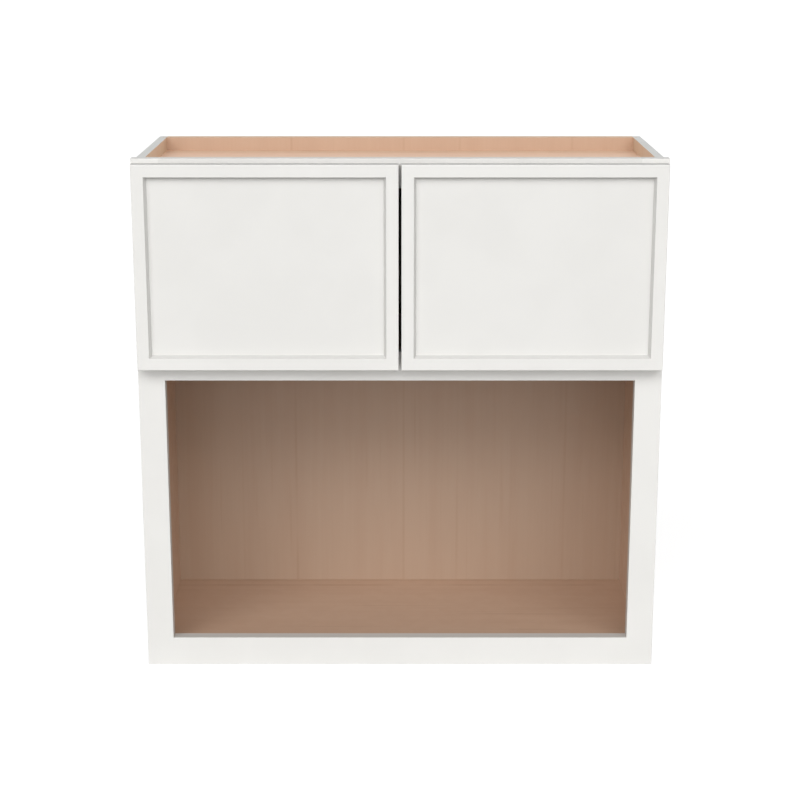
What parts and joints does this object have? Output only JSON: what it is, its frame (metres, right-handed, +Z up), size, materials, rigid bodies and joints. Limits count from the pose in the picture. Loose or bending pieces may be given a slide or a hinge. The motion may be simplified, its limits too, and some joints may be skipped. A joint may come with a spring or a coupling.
{
  "type": "microwave cabinet",
  "caption": "Wall-hung face-frame microwave cabinet: an open niche below and a closed compartment above behind a pair of slim-framed doors on concealed hinges.",
  "frame": {"origin": "middle of the box around the closed cabinet, at its bottom", "axes": "+X to the right of someone facing the doors, +Y to the wall, +Z up"},
  "size_m": [0.762, 0.3286, 0.762],
  "materials": {
    "frame_paint": "hardwood in satin off-white paint",
    "door_paint": "satin off-white paint, eased outer edges",
    "door_panel_paint": "fibreboard in satin off-white paint",
    "side_laminate": "plywood, off-white outside, clear maple veneer inside",
    "maple_veneer": "clear-coated maple veneer on plywood, satin",
    "rail_wood": "planed, unfinished",
    "hinge_nickel": "nickel-plated pressed steel",
    "spring_steel": "bare spring steel",
    "zinc_screw": "zinc-plated",
    "bumper": "soft clear polyurethane"
  },
  "bodies": {
    "cabinet": {"left_side_panel": "side_laminate", "right_side_panel": "side_laminate", "top_panel": "maple_veneer", "fixed_shelf": "maple_veneer", "bottom_panel": "maple_veneer", "back_panel": "maple_veneer", "upper_hanging_rail": "rail_wood", "lower_hanging_rail": "rail_wood", "left_frame_stile": "frame_paint", "right_frame_stile": "frame_paint", "top_frame_rail": "frame_paint", "middle_frame_rail": "frame_paint", "bottom_frame_rail": "frame_paint", "frame_pocket_screws": "zinc_screw", "left_lower_hinge_arm": "hinge_nickel", "left_upper_hinge_arm": "hinge_nickel", "right_lower_hinge_arm": "hinge_nickel", "right_upper_hinge_arm": "hinge_nickel", "left_hinge_arm_screws": "zinc_screw", "right_hinge_arm_screws": "zinc_screw"},
    "left_door": {"left_door_hinge_stile": "door_paint", "left_door_meeting_stile": "door_paint", "left_door_top_rail": "door_paint", "left_door_bottom_rail": "door_paint", "left_door_panel": "door_panel_paint", "left_door_corner_keys": "rail_wood", "left_door_bumpers": "bumper", "left_lower_hinge_cup": "hinge_nickel", "left_upper_hinge_cup": "hinge_nickel", "left_lower_hinge_pin": "hinge_nickel", "left_upper_hinge_pin": "hinge_nickel", "left_lower_hinge_spring": "spring_steel", "left_upper_hinge_spring": "spring_steel", "left_hinge_cup_screws": "zinc_screw"},
    "right_door": {"right_door_hinge_stile": "door_paint", "right_door_meeting_stile": "door_paint", "right_door_top_rail": "door_paint", "right_door_bottom_rail": "door_paint", "right_door_panel": "door_panel_paint", "right_door_corner_keys": "rail_wood", "right_door_bumpers": "bumper", "right_lower_hinge_cup": "hinge_nickel", "right_upper_hinge_cup": "hinge_nickel", "right_lower_hinge_pin": "hinge_nickel", "right_upper_hinge_pin": "hinge_nickel", "right_lower_hinge_spring": "spring_steel", "right_upper_hinge_spring": "spring_steel", "right_hinge_cup_screws": "zinc_screw"}
  },
  "joints": [
    {"name": "left_door_swing", "type": "hinge", "parent": "cabinet", "child": "left_door", "pos_m": [-0.3719, -0.15055, 0.6085], "axis": [0, 0, -1], "range_deg": [0, 100]},
    {"name": "right_door_swing", "type": "hinge", "parent": "cabinet", "child": "right_door", "pos_m": [0.3719, -0.15055, 0.6085], "axis": [0, 0, 1], "range_deg": [0, 100]}
  ]
}
